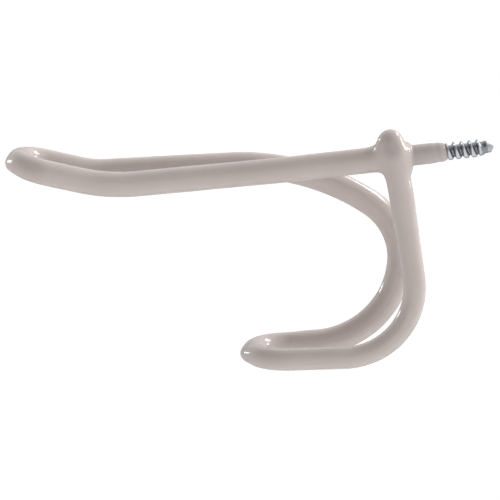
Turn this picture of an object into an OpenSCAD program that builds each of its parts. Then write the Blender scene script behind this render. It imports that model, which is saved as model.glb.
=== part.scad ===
// Coat and hat hook, bent from one length of steel wire and dipped in vinyl.
// The wire runs from the screw point along the hat arm, round the hat loop, back and down into
// the coat loop, and up a post that is welded to the side of the arm.
// The screw is on the Y axis: +Y goes into the wall, and the post is on the +X side of the arm.
// The origin is where the coat ends, which is the wall's surface.

/* [Wire] */
// Diameter of the steel wire
wire_d = 4.76; // [4:0.02:5.4]

/* [Screw] */
// Length of bare screw past the end of the coat
screw_len = 13.6; // [11:0.1:20]
// Diameter over the crests of the thread
thread_d = 4.84; // [4.2:0.02:5.4]
// Diameter at the root of the thread
root_d = 3.2; // [2.6:0.05:3.6]
// Distance between neighbouring crests
thread_pitch = 2.13; // [1.6:0.01:2.6]
// Width of the thread where it leaves the root
thread_foot = 1.3; // [0.8:0.05:1.5]
// Width of the crest
thread_crest = 0.16; // [0.1:0.02:0.4]
// Distance from the wall to the first crest on top of the screw
first_crest = 0.92; // [0.6:0.02:1.6]
// Turn over which the thread rises at its start, in degrees
lead_in = 110; // [60:10:200]
// Turn over which the thread fades out towards the point, in degrees
run_out = 420; // [180:10:540]
// Length of the cut-off point past the thread
point_len = 1.6; // [1.5:0.1:4]
// Radius of the point at its cut end
point_r = 1.2; // [0.6:0.05:1.3]
// Height of the tip above the screw's axis
tip_rise = 0.45; // [0:0.05:0.6]
// Slant of the cut below the tip, in degrees
point_slant = 26; // [0:1:40]

/* [Hat loop] */
// Distance from the wall to the post's weld on the arm
weld_reach = 13.5; // [11:0.1:25]
// Straight length of the arm from the weld to its slight set
arm_inner = 28.7; // [15:0.1:45]
// Angle by which the arm is set upwards, in degrees
arm_set = 1.1; // [0.5:0.1:5]
// Bend radius of the set
set_r = 40; // [20:1:80]
// Straight length of the arm past the set
arm_outer = 40; // [20:0.1:60]
// Angle by which the hat end turns up, in degrees
hat_rise = 18; // [8:0.1:30]
// Bend radius where the hat end turns up
hat_bend_r = 50.5; // [25:0.5:70]
// Straight length of each leg before the loop's end
hat_tip = 9.1; // [3:0.1:20]
// Distance between the axes of the hat loop's legs
hat_w = 14.4; // [11:0.1:24]
// Angle by which the far leg flattens again, in degrees
far_flat = 15.5; // [6:0.1:20]
// Bend radius where the far leg flattens
far_bend_r = 27; // [15:0.5:60]
// Straight length of the far leg
far_leg = 33.5; // [20:0.1:45]

/* [Back curve] */
// Bend radius where the far leg starts to drop
drop_r = 64.5; // [40:0.5:70]
// Angle of that bend, in degrees
drop_angle = 35.8; // [30:0.1:48]
// Bend radius of the shoulder
shoulder_r = 18.5; // [14:0.1:24]
// Angle of the shoulder, in degrees
shoulder_angle = 66.3; // [45:0.1:80]
// Bend radius of the heel that leads into the coat loop
heel_r = 24.5; // [18:0.1:32]

/* [Coat loop] */
// Straight length of the coat loop's far leg
coat_leg = 7.1; // [3:0.1:14]
// Angle by which the coat loop rises towards its end, in degrees
coat_rise = 4.8; // [0:0.1:12]
// Bend radius where the near leg turns up into the post
post_bend_r = 19.3; // [12:0.1:24]
// Lean of the post towards the wall at its foot, in degrees
post_lean = 2.5; // [0:0.1:6]
// Angle by which the post leans further at its head, in degrees
post_bow = 3; // [0.5:0.1:8]
// Bend radius of that bow
bow_r = 60; // [30:1:120]
// Straight length of the post from its bow to the weld
head_len = 7.7; // [5:0.1:12]
// Depth by which the weld sinks the post into the arm
weld_sink = 0.7; // [0.3:0.05:1.2]
// Height of the wire's end above the arm's axis
post_top = 6.5; // [4.5:0.1:10]

/* [Coat] */
// Thickness of the coat on the hat loop
coat_hat = 1.1; // [0.6:0.02:1.5]
// Thickness of the coat on the back curve
coat_back = 1.18; // [0.6:0.02:1.5]
// Thickness of the coat on the coat loop
coat_hook = 0.68; // [0.5:0.02:1.5]
// Thickness of the coat at the head of the post
coat_post = 0.98; // [0.6:0.02:1.5]
// Thickness of the coat on the shank
coat_shank = 0.43; // [0.3:0.01:0.9]
// Thickness of the coat at its edge
coat_edge = 0.14; // [0.1:0.01:0.3]
// Length over which the coat thins out towards its edge
edge_len = 3.5; // [2:0.1:5]
// Length of the plain coated shank
shank_len = 4.8; // [3:0.1:6]
// Length over which the shank's coat thickens to the arm's
shoulder_len = 0.8; // [0.4:0.1:2]
// Depth of the wire's end inside the dome's round
dome_grip = 1.2; // [0.6:0.1:2]

/* [Hidden] */
$fn = 48;
wire_r = wire_d / 2;
root_r = root_d / 2;

// Straight runs reach this far into the bends beside them, and are this much thinner in radius
run_grip = 0.2;
run_relief = 0.04;
// Short straight between two bends of the back curve
back_run = 0.4;
// Lengths of full wire behind and in front of the coat's edge
collar_len = 1;
bare_len = 0.3;

// The thread runs from the end of the full wire to the point, in steps of a turn
thread_fn = 24;
thread_sink = 0.12;
thread_h = thread_d / 2 - root_r;
thread_end = screw_len - point_len;
thread_steps = floor((thread_end - bare_len) / thread_pitch * thread_fn);

// End bends of the two loops, and the post's distance from the arm where it is welded
weld_lap = wire_d - weld_sink;
hat_end_r = hat_w / 2;
coat_end_r = (hat_w + weld_lap) / 2;

// Coated radii, by the stretch of wire
hat_coat_r = wire_r + coat_hat;
back_coat_r = wire_r + coat_back;
hook_coat_r = wire_r + coat_hook;
post_coat_r = wire_r + coat_post;
shank_coat_r = wire_r + coat_shank;
edge_coat_r = wire_r + coat_edge;
dome_rise = post_top - dome_grip;

// Side view of the wire: a heading is an angle from +Y towards +Z
a_arm = 180;
a_set = a_arm - arm_set;
a_hat = a_set - hat_rise;
a_return = a_hat - 180;
a_far = a_return + far_flat;
a_drop = a_far - drop_angle;
a_shoulder = a_drop - shoulder_angle;
a_coat = -180 - coat_rise;
a_near = a_coat + 180;
a_post = 90 + post_lean;
a_head = a_post + post_bow;

function along(a) = [cos(a), sin(a)];
function arc(r, a, b) = r * sign(b - a) * [sin(b) - sin(a), cos(a) - cos(b)];

// End of the coat loop's far leg, by adding up every stretch from the origin
coat_end =
    (weld_reach + arm_inner) * along(a_arm)
    + arc(set_r, a_arm, a_set)
    + arm_outer * along(a_set)
    + arc(hat_bend_r, a_set, a_hat)
    + arc(far_bend_r, a_return, a_far)
    + far_leg * along(a_far)
    + arc(drop_r, a_far, a_drop)
    + back_run * along(a_drop)
    + arc(shoulder_r, a_drop, a_shoulder)
    + back_run * along(a_shoulder)
    + arc(heel_r, a_shoulder, a_coat)
    + coat_leg * along(a_coat);

// The near leg and the post close the loop from there to the weld
weld = [-weld_reach, 0];
bridge =
    weld - coat_end
    - arc(post_bend_r, a_near, a_post)
    - arc(bow_r, a_post, a_head)
    - head_len * along(a_head);
corner = cross(along(a_near), along(a_post));
near_leg = cross(bridge, along(a_post)) / corner;
post_len = cross(along(a_near), bridge) / corner;

// Bending order: straight length, turn about the wire, bend radius, bend angle, coated radius
BENDS = [
    [weld_reach + arm_inner, 0, set_r, arm_set, hat_coat_r],
    [arm_outer, 0, hat_bend_r, hat_rise, hat_coat_r],
    [hat_tip, 90, hat_end_r, 180, hat_coat_r],
    [hat_tip, -90, far_bend_r, far_flat, hat_coat_r],
    [far_leg, 180, drop_r, drop_angle, back_coat_r],
    [back_run, 0, shoulder_r, shoulder_angle, back_coat_r],
    [back_run, 0, heel_r, a_shoulder - a_coat, back_coat_r],
    [coat_leg, -90, coat_end_r, 180, hook_coat_r],
    [near_leg, 90, post_bend_r, a_post - a_near, hook_coat_r],
    [post_len, 0, bow_r, post_bow, post_coat_r]
];

// Arc of round wire that starts at the origin along +Z and bends towards +X
module wire_arc(bend_r, angle, r) {
    translate([bend_r, 0, 0])
        rotate([90, 0, 180])
            rotate_extrude(angle = angle)
                translate([bend_r, 0])
                    circle(r);
}

// Places what follows at the end of an arc
module after_arc(bend_r, angle) {
    translate([bend_r, 0, 0])
        rotate([0, angle, 0])
            translate([-bend_r, 0, 0])
                children();
}

// Straight run, a hair thinner than the bends and reaching into the bends at its ends
module wire_run(length, r1, r2) {
    translate([0, 0, -run_grip])
        cylinder(h = length + 2 * run_grip, r1 = r1 - run_relief, r2 = r2 - run_relief);
}

// The wire from bend i onwards, bare or coated, with what ends it as its child
module bent_wire(i, coated) {
    if (i < len(BENDS)) {
        straight = BENDS[i][0];
        bend_r = BENDS[i][2];
        angle = BENDS[i][3];
        start_r = coated && i > 0 ? BENDS[i - 1][4] : wire_r;
        end_r = coated ? BENDS[i][4] : wire_r;
        if (i > 0 || !coated)
            wire_run(straight, start_r, end_r);
        translate([0, 0, straight])
            rotate([0, 0, BENDS[i][1]]) {
                wire_arc(bend_r, angle, end_r);
                after_arc(bend_r, angle)
                    bent_wire(i + 1, coated)
                        children();
            }
    } else {
        children();
    }
}

// Frame of the wire's start: along -Y from the origin, bending upwards
module from_wall() {
    rotate([90, 0, 0])
        rotate([0, 0, 90])
            children();
}

// Coated shank and arm up to the arm's set, as one turned profile
module coated_arm() {
    shank_end = edge_len + shank_len;
    arm_start = shank_end + shoulder_len;
    arm_end = weld_reach + arm_inner + run_grip;
    arm_r = hat_coat_r - run_relief;
    rotate_extrude()
        polygon([
            [0, 0],
            [edge_coat_r, 0],
            [shank_coat_r, edge_len],
            [shank_coat_r, shank_end],
            [arm_r, arm_start],
            [arm_r, arm_end],
            [0, arm_end]
        ]);
}

// Coated head of the post with its domed end
module coated_head() {
    head_h = head_len + dome_rise;
    wire_run(head_h, post_coat_r, post_coat_r);
    translate([0, 0, head_h])
        sphere(post_coat_r);
}

// Screw end of the wire, turned down to the root of its thread, with a point cut off on two sides
module screw_core() {
    neck = wire_r - root_r;
    top_slant = atan((root_r - tip_rise) / point_len);
    rotate([-90, 0, 0])
        difference() {
            rotate_extrude()
                polygon([
                    [0, -collar_len],
                    [wire_r, -collar_len],
                    [wire_r, bare_len],
                    [root_r, bare_len + neck],
                    [root_r, thread_end],
                    [point_r, screw_len],
                    [0, screw_len]
                ]);
            translate([0, -tip_rise, screw_len]) {
                rotate([-point_slant, 0, 0])
                    translate([-wire_d, -wire_d, 0])
                        cube([2 * wire_d, 3 * wire_d, wire_d]);
                rotate([-top_slant, 0, 0])
                    translate([-wire_d, -wire_d, -wire_d])
                        cube([2 * wire_d, wire_d, 2 * wire_d]);
            }
        }
}

// Height of the thread at step i, and its section there as radius and height: foot, crest, crest and foot
function thread_z(i) = bare_len + thread_pitch * i / thread_fn;
function thread_section(i) =
    let (
        risen = 360 * i / thread_fn / lead_in,
        fading = 360 * (thread_steps - i) / thread_fn / run_out,
        swell = min(1, risen, fading),
        foot_r = root_r - thread_sink,
        crest_r = root_r - thread_sink / 2 + swell * (thread_h + thread_sink / 2),
        half_crest = thread_crest / 2,
        half_foot = half_crest + swell * (thread_foot / 2 - half_crest),
        z = thread_z(i)
    )
    [
        [foot_r, z - half_foot],
        [crest_r, z - half_crest],
        [crest_r, z + half_crest],
        [foot_r, z + half_foot]
    ];

// Right-hand ridge of the thread, sunk a little into the core that carries it
module thread_ridge() {
    corners = len(thread_section(0));
    last = thread_steps * corners;
    points = [
        for (i = [0:thread_steps], p = thread_section(i))
            let (a = 360 * (thread_z(i) - first_crest) / thread_pitch - 90)
            [p[0] * cos(a), p[0] * sin(a), p[1]]
    ];
    sides = [
        for (i = [0:thread_steps - 1], k = [0:corners - 1])
            let (
                a = i * corners + k,
                b = i * corners + (k + 1) % corners
            )
            each [[a, b, b + corners], [a, b + corners, a + corners]]
    ];
    caps = [
        for (k = [1:corners - 2])
            each [[k + 1, k, 0], [last, last + k, last + k + 1]]
    ];
    rotate([-90, 0, 0])
        polyhedron(points, concat(sides, caps));
}

// All the steel: the bent wire and its screw end
module whole_wire() {
    from_wall()
        bent_wire(0, false)
            wire_run(head_len + post_top - run_grip, wire_r, wire_r);
    screw_core();
}

module steel_wire() {
    color([0.68, 0.71, 0.75]) {
        whole_wire();
        thread_ridge();
    }
}

module vinyl_coat() {
    color([0.80, 0.77, 0.75])
        difference() {
            from_wall() {
                coated_arm();
                bent_wire(0, true)
                    coated_head();
            }
            whole_wire();
        }
}

steel_wire();
vinyl_coat();
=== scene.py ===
"""Coat and hat hook: a dip-coated wire hook with a wood-screw end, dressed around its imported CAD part."""

import math
from typing import NamedTuple

import bpy
import numpy as np
from bpy.props import FloatProperty, FloatVectorProperty, IntProperty, PointerProperty
from mathutils import Matrix, Quaternion, Vector


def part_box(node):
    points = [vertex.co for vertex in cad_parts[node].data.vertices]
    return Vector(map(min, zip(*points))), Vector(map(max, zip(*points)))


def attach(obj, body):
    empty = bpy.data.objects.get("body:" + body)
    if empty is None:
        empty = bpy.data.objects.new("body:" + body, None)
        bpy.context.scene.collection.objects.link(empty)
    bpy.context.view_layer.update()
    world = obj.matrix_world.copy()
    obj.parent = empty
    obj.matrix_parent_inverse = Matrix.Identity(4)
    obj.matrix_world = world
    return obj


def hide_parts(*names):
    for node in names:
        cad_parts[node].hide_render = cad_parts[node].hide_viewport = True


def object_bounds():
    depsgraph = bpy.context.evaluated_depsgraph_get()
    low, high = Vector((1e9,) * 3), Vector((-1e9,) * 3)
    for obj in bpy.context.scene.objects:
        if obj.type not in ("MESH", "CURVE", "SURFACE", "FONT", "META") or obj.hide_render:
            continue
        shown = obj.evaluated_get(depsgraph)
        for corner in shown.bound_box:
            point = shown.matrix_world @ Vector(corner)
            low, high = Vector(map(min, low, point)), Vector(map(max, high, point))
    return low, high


bl_info = {
    "name": "Coat and hat hook",
    "version": (1, 0, 0),
    "blender": (4, 5, 0),
    "location": "3D View > Sidebar > Hook",
    "description": "Builds the vinyl dip and the zinc-plated wire of a coat and hat hook",
    "category": "Object",
}

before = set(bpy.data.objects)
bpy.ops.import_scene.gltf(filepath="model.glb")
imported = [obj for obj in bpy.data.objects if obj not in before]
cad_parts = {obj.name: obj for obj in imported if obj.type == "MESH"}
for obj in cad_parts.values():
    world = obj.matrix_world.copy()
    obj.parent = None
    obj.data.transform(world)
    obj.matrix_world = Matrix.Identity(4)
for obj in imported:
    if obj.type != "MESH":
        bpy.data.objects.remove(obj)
CAD_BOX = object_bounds()

MM = 0.001
AXIS_X, AXIS_Y, AXIS_Z = np.eye(3)


def length(name, description, mm):
    """A length property whose default is given in millimetres."""
    return FloatProperty(name=name, description=description, default=mm * MM, unit="LENGTH", precision=5)


def angle(name, description, degrees):
    """An angle property whose default is given in degrees."""
    return FloatProperty(name=name, description=description, default=math.radians(degrees), subtype="ANGLE")


def tint(name, description, colour):
    """A colour property."""
    return FloatVectorProperty(
        name=name, description=description, default=colour, subtype="COLOR", size=3, min=0, max=1
    )


def share(name, description, value, high=1.0):
    """A plain number from 0 upwards."""
    return FloatProperty(name=name, description=description, default=value, min=0, max=high)


def power(name, description, watts):
    """A lamp's power property, in watts."""
    return FloatProperty(name=name, description=description, default=watts, min=0, unit="POWER")


class HOOK_PG_wire(bpy.types.PropertyGroup):
    """Bends of the wire, in the order of bending from the screw."""

    wire_d: length("Wire diameter", "Diameter of the steel wire", 4.76)
    weld_reach: length("Weld reach", "Distance from the wall to the post's weld", 13.5)
    arm_inner: length("Inner arm", "Straight length of the arm from the weld to its set", 28.7)
    arm_set: angle("Arm set", "Angle by which the arm is set upwards", 1.1)
    set_r: length("Set radius", "Bend radius of the set", 40)
    arm_outer: length("Outer arm", "Straight length of the arm past the set", 40)
    hat_rise: angle("Hat rise", "Angle by which the hat end turns up", 18)
    hat_bend_r: length("Hat bend radius", "Bend radius where the hat end turns up", 50.5)
    hat_tip: length("Hat tip", "Straight length of each leg before the loop's end", 9.1)
    hat_w: length("Hat loop width", "Distance between the axes of the hat loop's legs", 14.4)
    far_flat: angle("Far leg angle", "Angle by which the far leg flattens again", 15.5)
    far_bend_r: length("Far bend radius", "Bend radius where the far leg flattens", 27)
    far_leg: length("Far leg", "Straight length of the far leg", 33.5)
    drop_r: length("Drop radius", "Bend radius where the far leg starts to drop", 64.5)
    drop_angle: angle("Drop angle", "Angle of that bend", 35.8)
    back_run: length("Back run", "Short straight between two bends of the back curve", 0.4)
    shoulder_r: length("Shoulder radius", "Bend radius of the shoulder", 18.5)
    shoulder_angle: angle("Shoulder angle", "Angle of the shoulder", 66.3)
    heel_r: length("Heel radius", "Bend radius of the heel", 24.5)
    coat_leg: length("Coat leg", "Straight length of the coat loop's far leg", 7.1)
    coat_rise: angle("Coat rise", "Angle by which the coat loop rises towards its end", 4.8)
    post_bend_r: length("Post bend radius", "Bend radius where the near leg turns up", 19.3)
    post_lean: angle("Post lean", "Lean of the post towards the wall at its foot", 2.5)
    post_bow: angle("Post bow", "Angle by which the post leans further at its head", 3)
    bow_r: length("Bow radius", "Bend radius of the post's bow", 60)
    head_len: length("Head", "Straight length of the post from its bow to the weld", 7.7)
    weld_sink: length("Weld sink", "Depth by which the weld sinks the post into the arm", 0.7)
    post_top: length("Post top", "Height of the wire's end above the arm's axis", 6.5)


class HOOK_PG_screw(bpy.types.PropertyGroup):
    """Wood-screw end of the wire."""

    reach: length("Screw length", "Length of screw past the end of the dip", 13.6)
    root_r: length("Root radius", "Radius at the root of the thread", 1.6)
    crest_r: length("Crest radius", "Radius over the crests of the thread", 2.42)
    pitch: length("Pitch", "Distance between neighbouring crests", 2.13)
    first_crest: length("First crest", "Distance from the wall of a crest on top of the screw", 0.92)
    foot_w: length("Thread foot", "Width of the thread where it leaves the root", 1.25)
    crest_w: length("Thread crest", "Width of the crest on top of the screw", 0.14)
    spread: length("Thread spread", "Width that the thread gains towards the underside of the screw", 0.85)
    bare: length("Bare wire", "Length of full wire past the end of the dip", 0.3)
    lead_in: angle("Lead-in", "Turn over which the thread rises at its start", 110)
    run_out: angle("Run-out", "Turn over which the thread fades out towards the point", 420)
    hidden: length("Hidden start", "Length of screw inside the dip", 2.0)
    point_len: length("Point length", "Length of the cut-off point past the thread", 1.6)
    point_r: length("Point radius", "Radius of the point at its cut end", 1.52)
    cut_rise: length("Cut rise", "Height above the axis at which the cut above the tip starts", 0.85)
    tip_rise: length("Tip rise", "Height of the tip above the screw's axis", 0.1)
    point_slant: angle("Point slant", "Slant of the cut below the tip", 27)
    columns: IntProperty(name="Columns", description="Faces round the screw", default=120, min=12)
    rows: IntProperty(name="Rows", description="Faces along the screw", default=400, min=50)
    zinc: tint("Zinc", "Colour of the zinc plating", (0.52, 0.555, 0.60))
    # Partly grime, partly painted shade: this darker zinc colours the thread's roots and lower flanks.
    zinc_root_grime_and_shade: tint("Dull zinc", "Colour of the plating where it is dull", (0.25, 0.255, 0.27))
    film_end: length("Film end", "Distance from the wall to which a film of vinyl reaches", 0.8)


class HOOK_PG_dip(bpy.types.PropertyGroup):
    """Vinyl dip over the wire."""

    hat: length("Hat loop", "Thickness on the hat loop", 1.1)
    back: length("Back curve", "Thickness on the back curve", 1.18)
    hook: length("Coat loop", "Thickness on the coat loop", 0.68)
    post: length("Post", "Thickness at the head of the post", 0.98)
    shank: length("Shank", "Thickness on the shank", 0.43)
    edge: length("Edge", "Thickness at the edge", 0.24)
    edge_len: length("Edge length", "Length over which the dip thins out towards its edge", 3.5)
    shank_end: length("Shank end", "Distance from the wall to the shoulder of the dip", 8.3)
    shoulder_len: length("Shoulder", "Length over which the shank's dip thickens to the arm's", 0.8)
    dome_grip: length("Dome grip", "Depth of the wire's end inside the dome's round", 1.2)
    web_hat_top: length("Upper web, hat side", "Reach of the web above the arm, on the hat side", 5.8)
    web_hat_low: length("Lower web, hat side", "Reach of the web below the arm, on the hat side", 3.8)
    web_wall_top: length("Upper web, wall side", "Reach of the web above the arm, on the wall side", 4.9)
    web_wall_low: length("Lower web, wall side", "Reach of the web below the arm, on the wall side", 4.6)
    lip: length("Lip", "Distance from the wall to which the dip's edge runs over the first thread", 0.3)
    droop: length("Droop", "Thickness that the dip gains at each loop's end", 0.42)
    droop_rise: angle("Droop rise", "Angle of the shaded side above the loop's plane", 28)
    drip: length("Drip", "Height of the drip on each loop's end", 0.72)
    drip_dip: angle("Drip angle", "Angle of the drip below the level", 4.5)
    sag: length("Sag", "Depth of the slow waves in the dip's thickness", 0.05)
    ghost: length("Thread ghost", "Depth of the thread's ghost in the dip on the shank", 0.14)
    voxel: length("Voxel", "Size of the faces of the dip's skin", 0.37)
    vinyl: tint("Vinyl", "Colour of the vinyl", (0.535, 0.467, 0.438))
    vinyl_deep: tint("Deep vinyl", "Colour of the vinyl where it is thick", (0.512, 0.444, 0.416))
    vinyl_thin: tint(
        "Thin vinyl", "Colour of the vinyl on the shank, where steel shows through", (0.456, 0.406, 0.389)
    )
    # Painted shade: a darker colour painted on the front of the weld, the side towards +X; the vinyl itself
    # is no darker there.
    vinyl_weld_shade: tint(
        "Weld vinyl", "Colour of the vinyl over the weld, where it is shaded", (0.40, 0.345, 0.325)
    )
    weld_shade_reach: length("Weld spot", "Reach of that colour round the front of the weld", 4.6)


class HOOK_PG_studio(bpy.types.PropertyGroup):
    """Camera, floor and light."""

    elevation: angle("Camera elevation", "Height of the camera above the horizon", 12.8)
    roll: angle("Camera roll", "Turn of the camera about its own axis", 6.46)
    distance: length("Camera distance", "Distance from the camera to the hook", 1216)
    lens: FloatProperty(name="Lens", description="Focal length", default=324, unit="CAMERA")
    aim: FloatVectorProperty(
        name="Aim", description="Point of the hook in the middle of the picture",
        default=(4.57 * MM, -54.86 * MM, -19.95 * MM), unit="LENGTH", precision=5,
    )
    floor_drop: length("Floor drop", "Distance from the hook's lowest point to the floor", 500)
    floor_half: length("Floor half width", "Half the width of the floor", 3000)
    floor: tint("Floor", "Colour of the floor", (0.94, 0.94, 0.94))
    floor_glow: share("Floor glow", "Light that the floor adds, so that it stays white", 0.24)
    card: tint("Card", "Colour of the card behind the hook, unseen by the camera", (0.72, 0.72, 0.72))
    card_half: length("Card half width", "Half the width of the card", 400)
    card_distance: length("Card distance", "Distance from the hook to the card", 350)
    card_dip: angle("Card dip", "Angle of the card below the horizon", 28)
    backdrop: share("Backdrop", "Brightness of the light from all round", 1.15, 10)
    dusk: share("Dusk", "Brightness of the dim side, above and in front of the hook", 0.24)
    dusk_azimuth: angle("Dusk azimuth", "Direction of the dim side, from +X towards +Y", -43)
    dusk_elevation: angle("Dusk elevation", "Height of the dim side above the horizon", 44)
    dusk_inner: angle("Dusk core", "Half angle of the dim side's core", 24)
    dusk_outer: angle("Dusk edge", "Half angle at which the dim side ends", 63)
    lamp_distance: length("Lamp distance", "Distance from the hook to the soft boxes", 900)
    lamp_left: power("Left lamp", "Power of the left soft box", 0.8)
    lamp_right: power("Right lamp", "Power of the right soft box", 2.0)
    lamp_high: power("High lamp", "Power of the soft box above the right one", 2.8)


class Stretch(NamedTuple):
    """One straight or bent stretch of the wire's axis."""

    start: np.ndarray
    heading: np.ndarray
    inward: np.ndarray
    bend_r: float
    run: float
    behind: float

    def at(self, along):
        """Points of the axis at these lengths from the stretch's start."""
        along = np.asarray(along, float)[..., None]
        if not self.bend_r:
            return self.start + along * self.heading
        turn = along / self.bend_r
        return self.start + self.bend_r * (np.sin(turn) * self.heading + (1 - np.cos(turn)) * self.inward)

    def leave(self):
        """Point, heading and inward direction at the stretch's end."""
        turn = self.run / self.bend_r if self.bend_r else 0.0
        heading = math.cos(turn) * self.heading + math.sin(turn) * self.inward
        inward = math.cos(turn) * self.inward - math.sin(turn) * self.heading
        return self.at(self.run), heading, inward

    def nearest(self, points):
        """Lengths from the stretch's start of the axis points nearest to these points."""
        offset = points - self.start
        ahead = offset @ self.heading
        if not self.bend_r:
            return np.clip(ahead, 0, self.run)
        middle = self.run / self.bend_r / 2
        turn = np.arctan2(ahead, self.bend_r - offset @ self.inward) - middle
        turn = (turn + np.pi) % (2 * np.pi) - np.pi
        return self.bend_r * (np.clip(turn, -middle, middle) + middle)


def turned(vector, axis, turn):
    """The vector turned about an axis that is square to it."""
    return math.cos(turn) * vector + math.sin(turn) * np.cross(axis, vector)


def bend(rows):
    """Bends a wire that leaves the wall along -Y, by rows of straight, turn, bend radius and angle."""
    spot, heading, inward, behind = np.zeros(3), -AXIS_Y, AXIS_Z, 0.0
    stretches = []
    for straight, turn, bend_r, bend_angle in rows:
        stretches.append(Stretch(spot, heading, inward, 0.0, straight, behind))
        inward = turned(inward, heading, turn)
        spot, behind = spot + straight * heading, behind + straight
        stretches.append(Stretch(spot, heading, inward, bend_r, bend_r * bend_angle, behind))
        spot, heading, inward = stretches[-1].leave()
        behind += stretches[-1].run
    return stretches


def wire_axis(wire, post_reach):
    """The wire's stretches from the wall to post_reach above the weld."""
    quarter, half = math.pi / 2, math.pi
    heel = half + wire.coat_rise + wire.far_flat - wire.arm_set - wire.hat_rise - wire.drop_angle
    coat_end_r = (wire.hat_w + wire.wire_d - wire.weld_sink) / 2
    rows = [
        (wire.weld_reach + wire.arm_inner, 0, wire.set_r, wire.arm_set),
        (wire.arm_outer, 0, wire.hat_bend_r, wire.hat_rise),
        (wire.hat_tip, quarter, wire.hat_w / 2, half),
        (wire.hat_tip, -quarter, wire.far_bend_r, wire.far_flat),
        (wire.far_leg, half, wire.drop_r, wire.drop_angle),
        (wire.back_run, 0, wire.shoulder_r, wire.shoulder_angle),
        (wire.back_run, 0, wire.heel_r, heel - wire.shoulder_angle),
        (wire.coat_leg, -quarter, coat_end_r, half),
    ]
    foot = (quarter, wire.post_bend_r, quarter + wire.post_lean + wire.coat_rise)
    bow = (0.0, wire.bow_r, wire.post_bow)
    *_, near, _, post, head = bend([*rows, (0.0, *foot), (0.0, *bow)])
    spot, rise, _ = head.leave()
    gap = -wire.weld_reach * AXIS_Y - wire.head_len * rise - spot
    near_leg, post_len = np.linalg.solve(np.stack([near.heading[1:], post.heading[1:]], axis=1), gap[1:])
    stretches = bend([*rows, (near_leg, *foot), (post_len, *bow)])
    last = stretches[-1]
    spot, rise, inward = last.leave()
    head = Stretch(spot, rise, inward, 0.0, wire.head_len + post_reach, last.behind + last.run)
    return [*stretches, head]


def axis_stations(stretches, spacing):
    """Lengths along the wire, at most this far apart, and the axis points there."""
    lengths, points = [], []
    for stretch in stretches:
        along = np.linspace(0, stretch.run, max(2, math.ceil(stretch.run / spacing) + 1))[:-1]
        lengths.append(stretch.behind + along)
        points.append(stretch.at(along))
    last = stretches[-1]
    lengths.append([last.behind + last.run])
    points.append([last.at(last.run)])
    return np.concatenate(lengths), np.concatenate(points)


def smooth_step(value, low, high):
    """0 below low, 1 above high, and a smooth rise between."""
    t = np.clip((value - low) / (high - low), 0, 1)
    return t * t * (3 - 2 * t)


def smooth_min(a, b, reach):
    """The lesser of two fields, with a round web where both are near."""
    near = np.maximum(reach - np.abs(a - b), 0) / reach
    return np.minimum(a, b) - near * near * reach / 4


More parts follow.
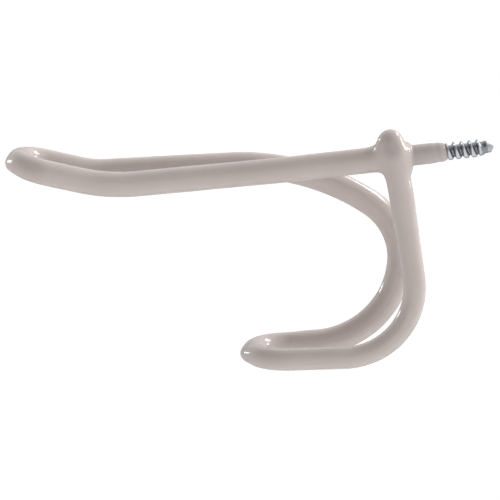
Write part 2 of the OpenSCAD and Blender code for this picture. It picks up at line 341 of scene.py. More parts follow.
class DipField:
    """Distance to the skin of the vinyl dip: below 0 inside it, above 0 outside."""

    # Waves of the thickness along the wire: length in millimetres and phase.
    WAVES = ((11.7, 0.4), (19.3, 2.1), (31.0, 4.4))
    # Shoulder lengths over which those waves set in.
    WAVES_START = 8
    # Waves of the lip round the wire: count, depth in millimetres and phase.
    LIP_WAVES = ((1, 0.40, -0.3), (2, 0.08, 2.6), (5, 0.06, 1.1))
    LIP_ROUND = 0.45 * MM
    # Radii, in root radii, between which the lip slopes.
    LIP_SLOPE = (0.9, 1.9)
    # Share of the ghost's depth that is left past the edge's length.
    FAR_GHOST = 0.3
    # Share of its reach that the web loses on the shank, and how far past the shoulder, in shoulder lengths.
    SHANK_WEB = 0.7
    SHANK_FOOT = 0.25
    # How sharp the fuller side of a loop's end and the nose of its drip are.
    DROOP_POWER = 2
    DRIP_POWER = 3
    # Cosine of the angle at which the drip's nose starts.
    DRIP_EDGE = 0.6
    # Least turn of a loop's end, in radians.
    LOOP_TURN = 3
    # Least squared slope that a step onto the skin is worked out with.
    LEAST_STEEP = 0.25
    TABLE_STEP = 0.1 * MM

    def __init__(self, wire, screw, dip):
        self.wire, self.screw, self.dip = wire, screw, dip
        self.stretches = wire_axis(wire, wire.post_top - dip.dome_grip)
        arm = self.stretches[0]
        over = dip.lip + self.LIP_ROUND
        self.stretches[0] = arm._replace(
            start=arm.start - over * arm.heading, run=arm.run + over, behind=arm.behind - over
        )
        self.loop_ends = [
            i for i, s in enumerate(self.stretches) if s.bend_r and s.run > self.LOOP_TURN * s.bend_r
        ]
        self.table()

    def table(self):
        """Tabulates the dipped radius by the length along the wire."""
        dip, wire_r = self.dip, self.wire.wire_d / 2
        bends = [s for s in self.stretches if s.bend_r]
        walls = [dip.hat] * 4 + [dip.back] * 3 + [dip.hook] * 2 + [dip.post]
        knots = [
            (0, dip.edge),
            (dip.edge_len, dip.shank),
            (dip.shank_end, dip.shank),
            (dip.shank_end + dip.shoulder_len, dip.hat),
        ]
        for stretch, wall in zip(bends, walls, strict=True):
            knots += [(stretch.behind, wall), (stretch.behind + stretch.run, wall)]
        last = self.stretches[-1]
        self.end = last.behind + last.run
        knots.append((self.end, dip.post))
        at, wall = np.array(knots).T
        self.lengths = np.arange(0, self.end + self.TABLE_STEP, self.TABLE_STEP)
        radii = wire_r + np.interp(self.lengths, at, wall)
        wave = np.mean([np.cos(2 * np.pi * self.lengths / (w * MM) + p) for w, p in self.WAVES], axis=0)
        full = dip.shank_end + self.WAVES_START * dip.shoulder_len
        thick = smooth_step(self.lengths, dip.shank_end, full)
        self.radii = radii - thick * dip.sag * (1 - wave) / 2

    def radius(self, along):
        """Dipped radius at these lengths along the wire."""
        return np.interp(along, self.lengths, self.radii)

    def tube(self, stretch, points):
        """Distance to the dip round one stretch."""
        along = stretch.nearest(points)
        return np.linalg.norm(points - stretch.at(along), axis=1) - self.radius(stretch.behind + along)

    def loop_end(self, stretch, points):
        """Distance to the dip round a loop's end, where it ran down and dried in a drip."""
        dip = self.dip
        along = stretch.nearest(points)
        offset = points - stretch.at(along)
        away = np.linalg.norm(offset, axis=1)
        up = np.cross(stretch.heading, AXIS_X)
        full = math.cos(dip.droop_rise) * stretch.heading + math.sin(dip.droop_rise) * up
        down = -math.cos(dip.drip_dip) * AXIS_Y - math.sin(dip.drip_dip) * AXIS_Z
        swell = np.maximum(offset @ full / away, 0) ** self.DROOP_POWER
        nose = (offset @ down / away - self.DRIP_EDGE) / (1 - self.DRIP_EDGE)
        point = np.maximum(nose, 0) ** self.DRIP_POWER
        fade = np.sin(np.pi * along / stretch.run)
        return away - self.radius(stretch.behind + along) - fade * (dip.droop * swell + dip.drip * point)

    def thread_ghost(self, points):
        """Depth of the thread's ghost, which fades from the lip to the shoulder."""
        around = np.arctan2(points[:, 0], points[:, 2]) / (2 * np.pi)
        phase = (points[:, 1] - self.screw.first_crest) / self.screw.pitch - around
        near = smooth_step(points[:, 1], -self.dip.edge_len, 0)
        far = smooth_step(points[:, 1], -self.dip.shank_end, -self.dip.edge_len)
        depth = self.dip.ghost * (near + self.FAR_GHOST * (far - near))
        return depth * (1 - np.cos(2 * np.pi * phase)) / 2

    def lip(self, points):
        """Height over the dip's ragged edge, which slopes down to the root of the thread."""
        around = np.arctan2(points[:, 0], points[:, 2])
        ragged = sum(depth * MM * np.sin(n * around + shift) for n, depth, shift in self.LIP_WAVES)
        low, high = (bound * self.screw.root_r for bound in self.LIP_SLOPE)
        away = np.clip(np.hypot(points[:, 0], points[:, 2]), low, high)
        return (points[:, 1] + away - self.wire.wire_d / 2 - self.dip.lip - ragged) / math.sqrt(2)

    def web(self, points):
        """Reach of the web that the dip leaves in the corners between arm and post."""
        dip, wire_r = self.dip, self.wire.wire_d / 2
        above = smooth_step(points[:, 2], -wire_r, wire_r)
        hat_side = dip.web_hat_low + (dip.web_hat_top - dip.web_hat_low) * above
        wall_side = dip.web_wall_low + (dip.web_wall_top - dip.web_wall_low) * above
        past_weld = smooth_step(points[:, 1] + self.wire.weld_reach, -wire_r, wire_r)
        reach = hat_side + (wall_side - hat_side) * past_weld
        foot = -dip.shank_end + self.SHANK_FOOT * dip.shoulder_len
        return reach * (1 - self.SHANK_WEB * smooth_step(points[:, 1], foot - dip.shoulder_len, foot))

    def __call__(self, points):
        """Distance to the whole skin."""
        arm, *others, post = [
            self.loop_end(stretch, points) if i in self.loop_ends else self.tube(stretch, points)
            for i, stretch in enumerate(self.stretches)
        ]
        arm = arm + self.thread_ghost(points)
        skin = np.minimum(smooth_min(arm, post, self.web(points)), np.min(others, axis=0))
        return -smooth_min(-skin, -self.lip(points), self.LIP_ROUND)

    def slope(self, points, probe=0.01 * MM):
        """Gradient of the field, by central differences."""
        steps = probe * np.eye(3)
        return np.stack([self(points + s) - self(points - s) for s in steps], axis=1) / (2 * probe)

    def settle(self, points):
        """The points moved onto the skin."""
        slope = self.slope(points)
        steep = np.maximum((slope * slope).sum(axis=1), self.LEAST_STEEP)
        return points - slope * (self(points) / steep)[:, None]


def add_node(tree, kind, **settings):
    """A new node of a tree, with these settings."""
    node = tree.nodes.new(kind)
    for name, value in settings.items():
        setattr(node, name, value)
    return node


def feed(tree, socket, value):
    """Links a socket's value, or sets it."""
    if isinstance(value, bpy.types.NodeSocket):
        tree.links.new(value, socket)
    else:
        socket.default_value = value


def calculate(tree, operation, *values):
    """Output of a math node."""
    node = add_node(tree, "ShaderNodeMath", operation=operation)
    for socket, value in zip(node.inputs, values):
        feed(tree, socket, value)
    return node.outputs["Value"]


def remap(tree, value, low, high, to_low, to_high, kind="SMOOTHSTEP"):
    """Output of a map range node."""
    node = add_node(tree, "ShaderNodeMapRange", interpolation_type=kind)
    for socket, given in zip(node.inputs, (value, low, high, to_low, to_high)):
        feed(tree, socket, given)
    return node.outputs["Result"]


def new_tree(name, sockets):
    """A geometry node tree with these inputs after its geometry, as name and socket type."""
    tree = bpy.data.node_groups.new(name, "GeometryNodeTree")
    tree.interface.new_socket("Geometry", in_out="INPUT", socket_type="NodeSocketGeometry")
    tree.interface.new_socket("Geometry", in_out="OUTPUT", socket_type="NodeSocketGeometry")
    for title, kind in sockets:
        tree.interface.new_socket(title, in_out="INPUT", socket_type=kind)
    return tree, add_node(tree, "NodeGroupInput").outputs, add_node(tree, "NodeGroupOutput").inputs


def finish_tree(tree, geometry, material, output, soft=True):
    """Ends a tree with smooth faces where they are soft, real meshes and the piece's material."""
    smooth = add_node(tree, "GeometryNodeSetShadeSmooth")
    feed(tree, smooth.inputs["Shade Smooth"], soft)
    real = add_node(tree, "GeometryNodeRealizeInstances")
    dressed = add_node(tree, "GeometryNodeSetMaterial")
    feed(tree, smooth.inputs["Geometry"], geometry)
    feed(tree, real.inputs["Geometry"], smooth.outputs["Geometry"])
    feed(tree, dressed.inputs["Geometry"], real.outputs["Geometry"])
    feed(tree, dressed.inputs["Material"], material)
    feed(tree, output["Geometry"], dressed.outputs["Geometry"])


def sweep_tree():
    """Round sweep along a chain of edges, with the radius that its points carry."""
    tree, given, output = new_tree(
        "Round sweep", [("Sides", "NodeSocketInt"), ("Material", "NodeSocketMaterial")]
    )
    curve = add_node(tree, "GeometryNodeMeshToCurve")
    radius = add_node(tree, "GeometryNodeInputNamedAttribute", data_type="FLOAT")
    radius.inputs["Name"].default_value = "sweep_radius"
    circle = add_node(tree, "GeometryNodeCurvePrimitiveCircle")
    circle.inputs["Radius"].default_value = 1.0
    sweep = add_node(tree, "GeometryNodeCurveToMesh")
    sweep.inputs["Fill Caps"].default_value = True
    feed(tree, curve.inputs["Mesh"], given["Geometry"])
    feed(tree, circle.inputs["Resolution"], given["Sides"])
    feed(tree, sweep.inputs["Curve"], curve.outputs["Curve"])
    feed(tree, sweep.inputs["Profile Curve"], circle.outputs["Curve"])
    feed(tree, sweep.inputs["Scale"], radius.outputs["Attribute"])
    finish_tree(tree, sweep.outputs["Mesh"], given["Material"], output)
    return tree


SCREW_INPUTS = (
    "Reach", "Wire Radius", "Bare Wire", "Root Radius", "Crest Radius", "Pitch", "First Crest",
    "Foot Width", "Crest Width", "Spread", "Lead In", "Run Out", "Hidden Start",
    "Point Length", "Point Radius", "Cut Rise", "Tip Rise", "Point Slant",
)
# Share of the grid's rows that closes each end of the screw.
CLOSING_ROWS = 0.03
# Wear of the point's plating, where a crest has 1.
POINT_SHINE = 0.7
# Distance within which the screw's seam and ends are merged.
SEAM = 0.002 * MM


def screw_tree():
    """Wood screw along +Y from the origin: a grid rolled up, whose radius follows the thread."""
    tree, given, output = new_tree(
        "Wood screw",
        [(name, "NodeSocketFloat") for name in SCREW_INPUTS]
        + [("Columns", "NodeSocketInt"), ("Rows", "NodeSocketInt"), ("Material", "NodeSocketMaterial")],
    )

    def math_node(operation, *values):
        return calculate(tree, operation, *values)

    def ramp(value, low, high, to_low, to_high):
        return remap(tree, value, low, high, to_low, to_high, "LINEAR")

    grid = add_node(tree, "GeometryNodeMeshGrid")
    grid.inputs["Size X"].default_value = 1.0
    grid.inputs["Size Y"].default_value = 1.0
    feed(tree, grid.inputs["Vertices X"], given["Columns"])
    feed(tree, grid.inputs["Vertices Y"], given["Rows"])
    place = add_node(tree, "ShaderNodeSeparateXYZ")
    feed(tree, place.inputs["Vector"], add_node(tree, "GeometryNodeInputPosition").outputs["Position"])
    # The grid's sides run from -0.5 to 0.5, one turn round the screw and its whole length.
    around = math_node("ADD", place.outputs["X"], 0.5)
    along = math_node("ADD", place.outputs["Y"], 0.5)

    start = math_node("MULTIPLY", given["Hidden Start"], -1.0)
    height = ramp(along, CLOSING_ROWS, 1.0 - CLOSING_ROWS, start, given["Reach"])
    opening = ramp(along, 0.0, CLOSING_ROWS, 0.0, 1.0)
    closing = math_node("MULTIPLY", opening, ramp(along, 1.0 - CLOSING_ROWS, 1.0, 1.0, 0.0))

    thread_end = math_node("SUBTRACT", given["Reach"], given["Point Length"])
    shrink = math_node("SUBTRACT", given["Wire Radius"], given["Root Radius"])
    neck_end = math_node("ADD", given["Bare Wire"], shrink)
    neck = ramp(height, given["Bare Wire"], neck_end, shrink, 0.0)
    core = ramp(height, thread_end, given["Reach"], given["Root Radius"], given["Point Radius"])

    turns = math_node("DIVIDE", math_node("SUBTRACT", height, given["First Crest"]), given["Pitch"])
    off_crest = math_node("ABSOLUTE", math_node("WRAP", math_node("SUBTRACT", turns, around), 0.5, -0.5))
    off_crest = math_node("MULTIPLY", off_crest, given["Pitch"])
    turn = math_node("MULTIPLY", around, 2 * math.pi)
    # 0 on top of the screw, 1 underneath.
    below = math_node("MULTIPLY_ADD", math_node("COSINE", turn), -0.5, 0.5)
    wider = math_node("MULTIPLY", given["Spread"], below)
    half_crest = math_node("MULTIPLY", math_node("ADD", given["Crest Width"], wider), 0.5)
    half_foot = math_node("MULTIPLY", math_node("ADD", given["Foot Width"], wider), 0.5)
    flank = ramp(off_crest, half_crest, half_foot, 1.0, 0.0)
    turn_rise = math_node("DIVIDE", given["Pitch"], 2 * math.pi)
    lead_end = math_node("MULTIPLY_ADD", given["Lead In"], turn_rise, given["Bare Wire"])
    fade_start = math_node("SUBTRACT", thread_end, math_node("MULTIPLY", given["Run Out"], turn_rise))
    rising = ramp(height, given["Bare Wire"], lead_end, 0.0, 1.0)
    fading = ramp(height, fade_start, thread_end, 1.0, 0.0)
    crest = math_node("MULTIPLY", flank, math_node("MULTIPLY", rising, fading))
    depth = math_node("SUBTRACT", given["Crest Radius"], given["Root Radius"])
    raised = math_node("MAXIMUM", neck, math_node("MULTIPLY", crest, depth))
    radius = math_node("MULTIPLY", math_node("ADD", core, raised), closing)

    across = math_node("MULTIPLY", radius, math_node("SINE", turn))
    up = math_node("MULTIPLY", radius, math_node("COSINE", turn))
    below_tip = math_node("SUBTRACT", given["Tip Rise"], up)
    cut_back = math_node("MULTIPLY", below_tip, math_node("TANGENT", given["Point Slant"]))
    level = math_node("MINIMUM", height, math_node("SUBTRACT", given["Reach"], cut_back))
    level = math_node("MINIMUM", level, given["Reach"])
    top = ramp(level, thread_end, given["Reach"], given["Cut Rise"], given["Tip Rise"])
    on_point = math_node("GREATER_THAN", level, thread_end)
    top = math_node("MULTIPLY_ADD", math_node("SUBTRACT", 1.0, on_point), given["Reach"], top)
    spot = add_node(tree, "ShaderNodeCombineXYZ")
    for socket, value in zip(spot.inputs, (across, level, math_node("MINIMUM", up, top))):
        feed(tree, socket, value)

    store = add_node(tree, "GeometryNodeStoreNamedAttribute", data_type="FLOAT", domain="POINT")
    store.inputs["Name"].default_value = "crest"
    feed(tree, store.inputs["Geometry"], grid.outputs["Mesh"])
    shine = math_node("MAXIMUM", crest, math_node("MULTIPLY", on_point, POINT_SHINE))
    feed(tree, store.inputs["Value"], shine)
    rolled = add_node(tree, "GeometryNodeSetPosition")
    feed(tree, rolled.inputs["Geometry"], store.outputs["Geometry"])
    feed(tree, rolled.inputs["Position"], spot.outputs["Vector"])
    closed = add_node(tree, "GeometryNodeMergeByDistance")
    closed.inputs["Distance"].default_value = SEAM
    feed(tree, closed.inputs["Geometry"], rolled.outputs["Geometry"])
    joined = add_node(tree, "GeometryNodeJoinGeometry")
    feed(tree, joined.inputs["Geometry"], given["Geometry"])
    feed(tree, joined.inputs["Geometry"], closed.outputs["Geometry"])
    face = add_node(tree, "ShaderNodeSeparateXYZ")
    feed(tree, face.inputs["Vector"], add_node(tree, "GeometryNodeInputPosition").outputs["Position"])
    soft = math_node("LESS_THAN", face.outputs["Y"], thread_end)
    finish_tree(tree, joined.outputs["Geometry"], given["Material"], output, soft)
    return tree


def add_nodes_modifier(piece, tree, values):
    """Puts a tree on a piece and sets its inputs by their identifiers."""
    modifier = piece.modifiers.new(tree.name, "NODES")
    modifier.node_group = tree
    names = {s.name: s.identifier for s in tree.interface.items_tree if s.in_out == "INPUT"}
    for name, value in values.items():
        modifier[names[name]] = value


def chain_piece(name, points, radii):
    """A piece that holds a chain of edges through points that carry a sweep radius."""
    mesh = bpy.data.meshes.new(name)
    links = [(i, i + 1) for i in range(len(points) - 1)]
    mesh.from_pydata([tuple(p) for p in points], links, [])
    carried = mesh.attributes.new("sweep_radius", "FLOAT", "POINT")
    carried.data.foreach_set("value", np.asarray(radii, np.float32))
    piece = bpy.data.objects.new(name, mesh)
    bpy.context.scene.collection.objects.link(piece)
    return piece


def make_real(piece):
    """Replaces a piece's mesh by what its modifiers make of it, and removes them."""
    bpy.context.view_layer.update()
    made = piece.evaluated_get(bpy.context.evaluated_depsgraph_get())
    mesh = bpy.data.meshes.new_from_object(made)
    if not mesh.polygons:
        raise RuntimeError(f"{piece.name} has no faces")
    old, piece.data = piece.data, mesh
    piece.modifiers.clear()
    bpy.data.meshes.remove(old)
    mesh.name = piece.name


# Most by which a piece's box may differ from its node's.
BOX_SLACK = 2 * MM


def stand_in(piece, node):
    """Puts a finished piece in the place of its CAD node, after a test that it fits the node's box."""
    corners = np.empty(len(piece.data.vertices) * 3)
    piece.data.vertices.foreach_get("co", corners)
    corners = corners.reshape(-1, 3)
    low, high = (np.array(corner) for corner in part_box(node))
    off = np.maximum(np.abs(corners.min(0) - low), np.abs(corners.max(0) - high))
    if off.max() > BOX_SLACK:
        raise RuntimeError(f"{piece.name} doesn't fit the box of {node}")
    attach(piece, "root")
    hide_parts(node)


def new_material(name):
    """A material with its tree, its shader and Object coordinates."""
    material = bpy.data.materials.new(name)
    material.use_nodes = True
    tree = material.node_tree
    shader = next(n for n in tree.nodes if n.type == "BSDF_PRINCIPLED")
    return material, tree, shader, add_node(tree, "ShaderNodeTexCoord").outputs["Object"]


def noise(tree, place, size, detail=2.0, roughness=0.5):
    """Noise whose features are about this size."""
    node = add_node(tree, "ShaderNodeTexNoise")
    feed(tree, node.inputs["Vector"], place)
    node.inputs["Scale"].default_value = 1 / size
    node.inputs["Detail"].default_value = detail
    node.inputs["Roughness"].default_value = roughness
    return node.outputs["Fac"]


def blend_colour(tree, factor, first, second):
    """Colour between two colours."""
    node = add_node(tree, "ShaderNodeMix", data_type="RGBA")
    feed(tree, node.inputs["Factor"], factor)
    a, b = (s for s in node.inputs if s.type == "RGBA")
    feed(tree, a, first if isinstance(first, bpy.types.NodeSocket) else (*first, 1))
    feed(tree, b, second if isinstance(second, bpy.types.NodeSocket) else (*second, 1))
    return next(s for s in node.outputs if s.type == "RGBA")


def bump(tree, height, distance, strength, normal=None):
    """Normal bent by a height field."""
    node = add_node(tree, "ShaderNodeBump")
    feed(tree, node.inputs["Height"], height)
    node.inputs["Distance"].default_value = distance
    node.inputs["Strength"].default_value = strength
    if normal is not None:
        feed(tree, node.inputs["Normal"], normal)
    return node.outputs["Normal"]


# Range in which most of a noise lies.
NOISE_RANGE = (0.3, 0.7)
# Vinyl: size and edges of its clouds and of its dark flecks.
CLOUD_SIZE = 14 * MM
CLOUD_EDGES = (0.35, 0.65)
FLECK_SIZE = 0.5 * MM
FLECK_EDGES = (0.70, 0.76)
FLECK_SHARE = 0.35
FLECK_SHADE = 0.72
# Share of the painted shade on the weld's front that has its full darkness.
WELD_SHADE_CORE = 0.2
# Roughness of the vinyl, least and most, and the size of its patches.
VINYL_ROUGHNESS = (0.05, 0.08)
GLOSS_SIZE = 5 * MM
# Width and height of the vinyl's flow and of its orange peel.
FLOW = (6 * MM, 0.05 * MM)
PEEL = (0.9 * MM, 0.006 * MM)
VINYL_BUMP = 0.5
VINYL_IOR = 1.5
# Light that enters the vinyl: its share, its reach by colour and its depth.
GLOW_SHARE = 0.12
GLOW_RADIUS = (1.0, 0.85, 0.75)
GLOW_DEPTH = 0.6 * MM


def vinyl_material(dip, weld_shade_centre):
    """Glossy warm grey plastisol: slow clouds, painted shade on the front of the weld, fine flecks and
    orange peel.
    """
    material, tree, shader, place = new_material("Vinyl dip")
    cloud = noise(tree, place, CLOUD_SIZE, detail=3.0, roughness=0.55)
    tone = blend_colour(tree, remap(tree, cloud, *CLOUD_EDGES, 0.0, 1.0), dip.vinyl, dip.vinyl_deep)
    fleck = remap(tree, noise(tree, place, FLECK_SIZE, detail=1.0), *FLECK_EDGES, 0.0, FLECK_SHARE)
    tone = blend_colour(tree, fleck, tone, tuple(FLECK_SHADE * c for c in dip.vinyl_deep))
    axis = add_node(tree, "ShaderNodeSeparateXYZ")
    feed(tree, axis.inputs["Vector"], place)
    thin = remap(tree, axis.outputs["Y"], -dip.shank_end - dip.shoulder_len, -dip.shank_end, 0.0, 1.0)
    tone = blend_colour(tree, thin, tone, dip.vinyl_thin)
    from_weld = add_node(tree, "ShaderNodeVectorMath", operation="DISTANCE")
    feed(tree, from_weld.inputs[0], place)
    from_weld.inputs[1].default_value = weld_shade_centre
    core = WELD_SHADE_CORE * dip.weld_shade_reach
    # Painted shade on the weld's front: darkest within its core, fading out at its reach.
    thick = remap(tree, from_weld.outputs["Value"], core, dip.weld_shade_reach, 1.0, 0.0)
    feed(tree, shader.inputs["Base Color"], blend_colour(tree, thick, tone, dip.vinyl_weld_shade))
    rough = remap(tree, noise(tree, place, GLOSS_SIZE), *NOISE_RANGE, *VINYL_ROUGHNESS)
    feed(tree, shader.inputs["Roughness"], rough)
    normal = None
    for width, height in (FLOW, PEEL):
        normal = bump(tree, noise(tree, place, width, detail=1.0), height, VINYL_BUMP, normal)
    feed(tree, shader.inputs["Normal"], normal)
    shader.inputs["IOR"].default_value = VINYL_IOR
    shader.inputs["Subsurface Weight"].default_value = GLOW_SHARE
    shader.inputs["Subsurface Radius"].default_value = GLOW_RADIUS
    shader.inputs["Subsurface Scale"].default_value = GLOW_DEPTH
    return material


# Zinc: size of its spangles, what they add to the wear, and the wear at which it is dull and bright. The
# thread's roots and lower flanks have the least and are darkened, partly as grime and partly as painted
# shade.
SPANGLE_SIZE = 0.8 * MM
SPANGLE_WEAR = 1.2
WEAR_EDGES = (0.8, 1.65)
ZINC_ROUGHNESS = (0.18, 0.34)
# Size and depth of the film's ragged edge, and where it fades past the film's end.
FILM_SIZE = 1.1 * MM
FILM_DEPTH = 1.2 * MM
FILM_FADE = (0.4 * MM, 0.8 * MM)
# Width and height of the plating's grain.
GRAIN = (0.4 * MM, 0.04 * MM)
GRAIN_BUMP = 0.6


def zinc_material(screw, dip):
    """Bright zinc plating, darker in the roots of the thread from grime and painted shade, with a film of
    vinyl at the end of the dip.
    """
    material, tree, shader, place = new_material("Zinc plating")
    crest = add_node(tree, "ShaderNodeAttribute", attribute_name="crest").outputs["Fac"]
    spangle = noise(tree, place, SPANGLE_SIZE, detail=3.0, roughness=0.6)
    # Low in the thread's roots and lower flanks, whose zinc is darkened, partly as grime and partly as
    # painted shade.
    wear_and_shade = calculate(tree, "MULTIPLY_ADD", spangle, SPANGLE_WEAR, crest)
    metal = blend_colour(tree, remap(tree, wear_and_shade, *WEAR_EDGES, 0.0, 1.0), screw.zinc_root_grime_and_shade, screw.zinc)
    axis = add_node(tree, "ShaderNodeSeparateXYZ")
    feed(tree, axis.inputs["Vector"], place)
    ragged = calculate(tree, "MULTIPLY_ADD", noise(tree, place, FILM_SIZE), FILM_DEPTH, axis.outputs["Y"])
    near, far = (screw.film_end + edge for edge in FILM_FADE)
    film = remap(tree, ragged, near, far, 1.0, 0.0)
    feed(tree, shader.inputs["Base Color"], blend_colour(tree, film, metal, dip.vinyl))
    feed(tree, shader.inputs["Metallic"], calculate(tree, "SUBTRACT", 1.0, film))
    feed(tree, shader.inputs["Roughness"], remap(tree, spangle, *NOISE_RANGE, *ZINC_ROUGHNESS))
    width, height = GRAIN
    grain = bump(tree, noise(tree, place, width, detail=3.0), height, GRAIN_BUMP)
    feed(tree, shader.inputs["Normal"], grain)
    return material


def towards(azimuth, elevation):
    """Unit vector by its azimuth from +X towards +Y and its elevation."""
    level = math.cos(elevation)
    return (level * math.cos(azimuth), level * math.sin(azimuth), math.sin(elevation))


class HOOK_OT_zinc_wire(bpy.types.Operator):
    """Sweep the bent wire and roll the wood screw at its end"""

    bl_idname = "hook.zinc_wire"
    bl_label = "Zinc wire"

    SPACING = 1.2 * MM
    SIDES = 24

    def execute(self, context):
        wire, screw, dip = context.scene.hook_wire, context.scene.hook_screw, context.scene.hook_dip
        lengths, points = axis_stations(wire_axis(wire, wire.post_top), self.SPACING)
        # The swept wire starts halfway along the screw's hidden start.
        inside = lengths > screw.hidden / 2
        piece = chain_piece("zinc_wire", points[inside], np.full(inside.sum(), wire.wire_d / 2))
        material = zinc_material(screw, dip)
        add_nodes_modifier(piece, sweep_tree(), {"Sides": self.SIDES, "Material": material})
        add_nodes_modifier(piece, screw_tree(), {
            "Reach": screw.reach, "Wire Radius": wire.wire_d / 2, "Bare Wire": screw.bare,
            "Root Radius": screw.root_r, "Crest Radius": screw.crest_r, "Pitch": screw.pitch,
            "First Crest": screw.first_crest, "Foot Width": screw.foot_w, "Crest Width": screw.crest_w,
            "Spread": screw.spread, "Lead In": screw.lead_in, "Run Out": screw.run_out,
            "Hidden Start": screw.hidden, "Point Length": screw.point_len, "Point Radius": screw.point_r,
            "Cut Rise": screw.cut_rise, "Tip Rise": screw.tip_rise, "Point Slant": screw.point_slant,
            "Columns": screw.columns, "Rows": screw.rows, "Material": material,
        })
        make_real(piece)
        stand_in(piece, "steel_wire")
        return {"FINISHED"}


class HOOK_OT_vinyl_dip(bpy.types.Operator):
    """Sweep the dip over the wire, make it one skin, and settle that on the dip's true surface"""

    bl_idname = "hook.vinyl_dip"
    bl_label = "Vinyl dip"

    SPACING = 0.8 * MM
    SIDES = 48
    CAP_RINGS = 7
    ROUNDS = 5
    # Height above the arm's axis of the darkest point of the painted shade on the weld's front.
    WELD_SHADE_RISE = 4.2 * MM

    def execute(self, context):
        scene = context.scene
        field = DipField(scene.hook_wire, scene.hook_screw, scene.hook_dip)
        lengths, points = axis_stations(field.stretches, self.SPACING)
        radii = field.radius(lengths)
        head = field.stretches[-1]
        cap = np.sin(np.linspace(0, math.pi / 2, self.CAP_RINGS + 2)[1:-1])
        points = np.concatenate([points, points[-1] + radii[-1] * cap[:, None] * head.heading])
        radii = np.concatenate([radii, radii[-1] * np.sqrt(1 - cap * cap)])
        piece = chain_piece("vinyl_dip", points, radii)
        # Middle of the painted shade: on the front of the weld, above the arm's axis.
        weld_shade_centre = head.at(scene.hook_wire.head_len)
        weld_shade_centre = weld_shade_centre + field.radius(head.behind) * AXIS_X + self.WELD_SHADE_RISE * AXIS_Z
        material = vinyl_material(scene.hook_dip, weld_shade_centre)
        add_nodes_modifier(piece, sweep_tree(), {"Sides": self.SIDES, "Material": material})
        skin = piece.modifiers.new("One skin", "REMESH")
        skin.mode = "VOXEL"
        skin.voxel_size = scene.hook_dip.voxel
        skin.use_smooth_shade = True
        make_real(piece)
        self.settle(piece.data, field)
        stand_in(piece, "vinyl_coat")
        return {"FINISHED"}

    def settle(self, mesh, field):
        """Moves the skin's points onto the field, and evens them out between rounds."""
        points = np.empty(len(mesh.vertices) * 3)
        mesh.vertices.foreach_get("co", points)
        points = points.reshape(-1, 3)
        ends = np.empty(len(mesh.edges) * 2, int)
        mesh.edges.foreach_get("vertices", ends)
        first, second = ends.reshape(-1, 2).T
        count = np.bincount(np.concatenate([first, second]), minlength=len(points))[:, None]
        points = field.settle(field.settle(points))
        for _ in range(self.ROUNDS):
            total = np.zeros_like(points)
            np.add.at(total, first, points[second])
            np.add.at(total, second, points[first])
            points = field.settle((points + total / count) / 2)
        points = field.settle(points)
        mesh.vertices.foreach_set("co", points.ravel())
        mesh.update()


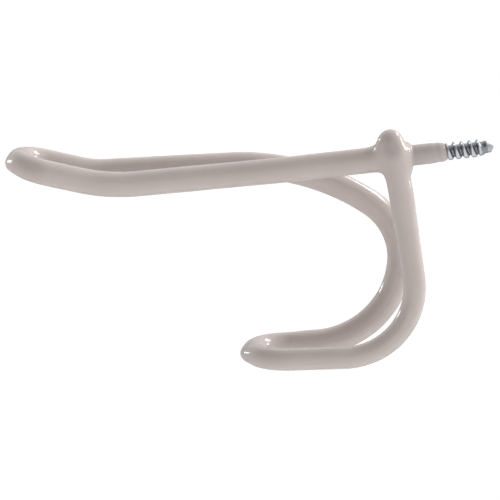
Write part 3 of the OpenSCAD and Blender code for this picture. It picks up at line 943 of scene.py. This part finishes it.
class HOOK_OT_studio(bpy.types.Operator):
    """Set up the floor, the light and the camera"""

    bl_idname = "hook.studio"
    bl_label = "Studio"

    # Lamps: azimuth, elevation and roll in degrees, width and height in metres.
    LAMPS = (
        ("lamp_left", -127, 14, 24, 0.31, 0.10),
        ("lamp_right", 116, 5, 0, 0.19, 0.35),
        ("lamp_high", 122, 33, 0, 0.56, 0.20),
    )
    SHEET_ROUGHNESS = 0.8
    SENSOR_WIDTH = 36
    CLIP_RANGE = (0.01, 100)

    def execute(self, context):
        studio = context.scene.hook_studio
        self.floor(context, studio)
        self.card(context, studio)
        self.world(context.scene, studio)
        for name, *turns, width, height in self.LAMPS:
            self.lamp(context, studio, name, map(math.radians, turns), width, height)
        self.camera(context, studio)
        context.scene.view_settings.view_transform = "Standard"
        return {"FINISHED"}

    def floor(self, context, studio):
        """A plain pale floor below the hook."""
        floor, shader = self.sheet(context, "floor", studio.floor_half, studio.floor)
        shader.inputs["Emission Color"].default_value = (1, 1, 1, 1)
        shader.inputs["Emission Strength"].default_value = studio.floor_glow
        floor.location.z = CAD_BOX[0].z - studio.floor_drop

    def card(self, context, studio):
        """A grey card behind the hook, out of the camera's sight, so that the vinyl's edges stay dark."""
        card, _ = self.sheet(context, "card", studio.card_half, studio.card)
        away = Vector(towards(math.pi, -studio.card_dip))
        card.location = Vector(studio.aim) + studio.card_distance * away
        card.rotation_euler = away.to_track_quat("Z", "Y").to_euler()
        card.visible_camera = False

    def sheet(self, context, name, half, colour):
        """A matt square of the stage, and its shader."""
        mesh = bpy.data.meshes.new(name)
        corners = [(-half, -half, 0), (half, -half, 0), (half, half, 0), (-half, half, 0)]
        mesh.from_pydata(corners, [], [(0, 1, 2, 3)])
        sheet = bpy.data.objects.new(name, mesh)
        context.scene.collection.objects.link(sheet)
        material, _, shader, _ = new_material(name.title())
        shader.inputs["Base Color"].default_value = (*colour, 1)
        shader.inputs["Roughness"].default_value = self.SHEET_ROUGHNESS
        mesh.materials.append(material)
        return sheet, shader

    def world(self, scene, studio):
        """Soft light from all round, dim from above on the left, before a white background."""
        world = bpy.data.worlds.new("Studio light")
        scene.world = world
        world.use_nodes = True
        tree = world.node_tree
        background = next(n for n in tree.nodes if n.type == "BACKGROUND")
        background.inputs["Color"].default_value = (1, 1, 1, 1)
        ray = add_node(tree, "ShaderNodeTexCoord").outputs["Generated"]
        facing = add_node(tree, "ShaderNodeVectorMath", operation="DOT_PRODUCT")
        feed(tree, facing.inputs[0], ray)
        facing.inputs[1].default_value = towards(studio.dusk_azimuth, studio.dusk_elevation)
        edge, core = math.cos(studio.dusk_outer), math.cos(studio.dusk_inner)
        light = remap(tree, facing.outputs["Value"], edge, core, studio.backdrop, studio.dusk)
        seen = add_node(tree, "ShaderNodeLightPath").outputs["Is Camera Ray"]
        feed(tree, background.inputs["Strength"], calculate(tree, "MAXIMUM", light, seen))

    def lamp(self, context, studio, name, turns, width, height):
        """A soft box beside the hook, turned towards it, by its azimuth, its elevation and its roll."""
        azimuth, elevation, roll = turns
        data = bpy.data.lights.new(name, "AREA")
        data.shape = "RECTANGLE"
        data.size, data.size_y = width, height
        data.energy = getattr(studio, name)
        lamp = bpy.data.objects.new(name, data)
        context.scene.collection.objects.link(lamp)
        away = Vector(towards(azimuth, elevation))
        lamp.location = Vector(studio.aim) + studio.lamp_distance * away
        lamp.rotation_euler = (away.to_track_quat("Z", "Y") @ Quaternion((0, 0, 1), roll)).to_euler()

    def camera(self, context, studio):
        """A camera at the photograph's angle."""
        back = np.array([math.cos(studio.elevation), 0, math.sin(studio.elevation)])
        side = AXIS_Y
        up = np.cross(back, side)
        right = math.cos(studio.roll) * side - math.sin(studio.roll) * up
        top = math.sin(studio.roll) * side + math.cos(studio.roll) * up
        camera = bpy.data.objects.new("camera", bpy.data.cameras.new("camera"))
        context.scene.collection.objects.link(camera)
        spot = np.array(studio.aim) + studio.distance * back
        turn = Matrix(np.stack([right, top, back], axis=1).tolist()).to_4x4()
        camera.matrix_world = Matrix.Translation(Vector(spot)) @ turn
        camera.data.sensor_width = self.SENSOR_WIDTH
        camera.data.lens = studio.lens
        camera.data.clip_start, camera.data.clip_end = self.CLIP_RANGE
        context.scene.camera = camera


class HOOK_PT_panel(bpy.types.Panel):
    """Sizes of the hook and the steps that build it"""

    bl_idname = "HOOK_PT_panel"
    bl_label = "Coat and hat hook"
    bl_space_type = "VIEW_3D"
    bl_region_type = "UI"
    bl_category = "Hook"

    def draw(self, context):
        for owner, operator in STEPS:
            box = self.layout.box()
            settings = getattr(context.scene, owner)
            for name in settings.__annotations__:
                box.prop(settings, name)
            if operator:
                box.operator(operator.bl_idname)


GROUPS = {
    "hook_wire": HOOK_PG_wire,
    "hook_screw": HOOK_PG_screw,
    "hook_dip": HOOK_PG_dip,
    "hook_studio": HOOK_PG_studio,
}
STEPS = (
    ("hook_wire", None),
    ("hook_screw", HOOK_OT_zinc_wire),
    ("hook_dip", HOOK_OT_vinyl_dip),
    ("hook_studio", HOOK_OT_studio),
)
CLASSES = (*GROUPS.values(), HOOK_OT_zinc_wire, HOOK_OT_vinyl_dip, HOOK_OT_studio, HOOK_PT_panel)


def register():
    """Registers the classes, and puts their settings on the scene."""
    for cls in CLASSES:
        bpy.utils.register_class(cls)
    for name, group in GROUPS.items():
        setattr(bpy.types.Scene, name, PointerProperty(type=group))


def unregister():
    """Takes the settings off the scene, and the classes away."""
    for name in GROUPS:
        delattr(bpy.types.Scene, name)
    for cls in reversed(CLASSES):
        bpy.utils.unregister_class(cls)


def main():
    """Builds the pieces and the studio."""
    register()
    bpy.ops.hook.zinc_wire()
    bpy.ops.hook.vinyl_dip()
    bpy.ops.hook.studio()


if __name__ == "__main__":
    main()
